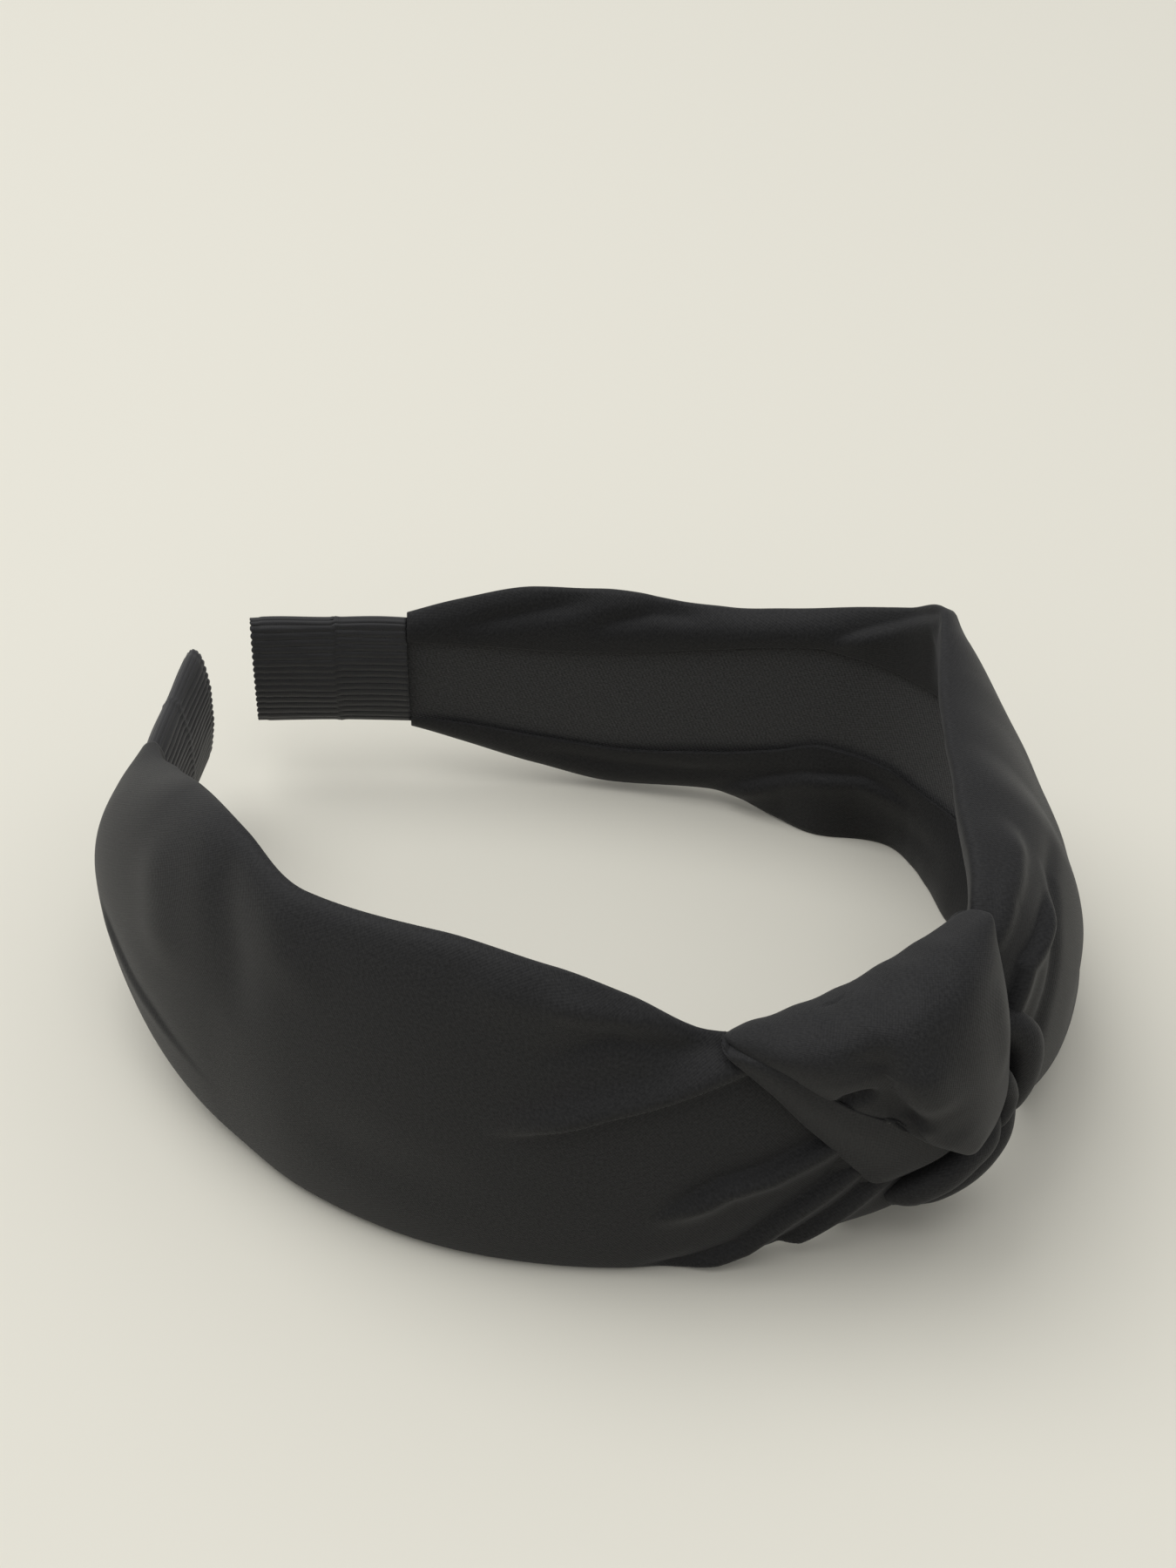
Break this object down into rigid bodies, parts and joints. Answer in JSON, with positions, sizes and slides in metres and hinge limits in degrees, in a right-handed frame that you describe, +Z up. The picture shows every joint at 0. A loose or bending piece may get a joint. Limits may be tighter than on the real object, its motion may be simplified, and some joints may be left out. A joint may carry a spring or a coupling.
{
  "type": "knotted headband",
  "caption": "Wide satin-covered headband on a springy plastic core, with a tied knot at the crown, a knit lining and ribbon-wrapped tips.",
  "frame": {"origin": "centre of the bounding box on the plane the band's lower edge rests on", "axes": "+Z up, the band lies on its lower edge as worn headbands are laid down; +Y from the crown towards the two tips; +X from the left leg to the right leg, seen from above"},
  "size_m": [0.1227, 0.1598, 0.052],
  "materials": {
    "satin": "black matte satin with a soft sheen",
    "lining": "black brushed knit",
    "ribbon": "black grosgrain, ribbed along the band",
    "plastic": "black moulded plastic strip",
    "wadding": "thin dark foam wadding"
  },
  "bodies": {
    "crown": {"core_crown": "plastic", "padding_crown": "wadding", "lining_crown": "lining", "satin_crown_left": "satin", "satin_crown_right": "satin", "knot_gather": "satin", "knot_wrap": "satin", "knot_tuck": "satin", "knot_loop": "satin"},
    "leg_left": {"core_leg_left": "plastic", "padding_leg_left": "wadding", "lining_leg_left": "lining", "satin_leg_left": "satin", "ribbon_tip_left": "ribbon"},
    "leg_right": {"core_leg_right": "plastic", "padding_leg_right": "wadding", "lining_leg_right": "lining", "satin_leg_right": "satin", "ribbon_tip_right": "ribbon"}
  },
  "joints": [
    {"name": "flex_left", "type": "hinge", "parent": "crown", "child": "leg_left", "pos_m": [-0.06068, -0.00224, 0.026], "axis": [0, 0, 1], "range_deg": [-2, 28], "stiffness_Nm_per_rad": 0.3},
    {"name": "flex_right", "type": "hinge", "parent": "crown", "child": "leg_right", "pos_m": [0.05959, -0.00772, 0.026], "axis": [0, 0, -1], "range_deg": [-2, 28], "stiffness_Nm_per_rad": 0.3}
  ]
}
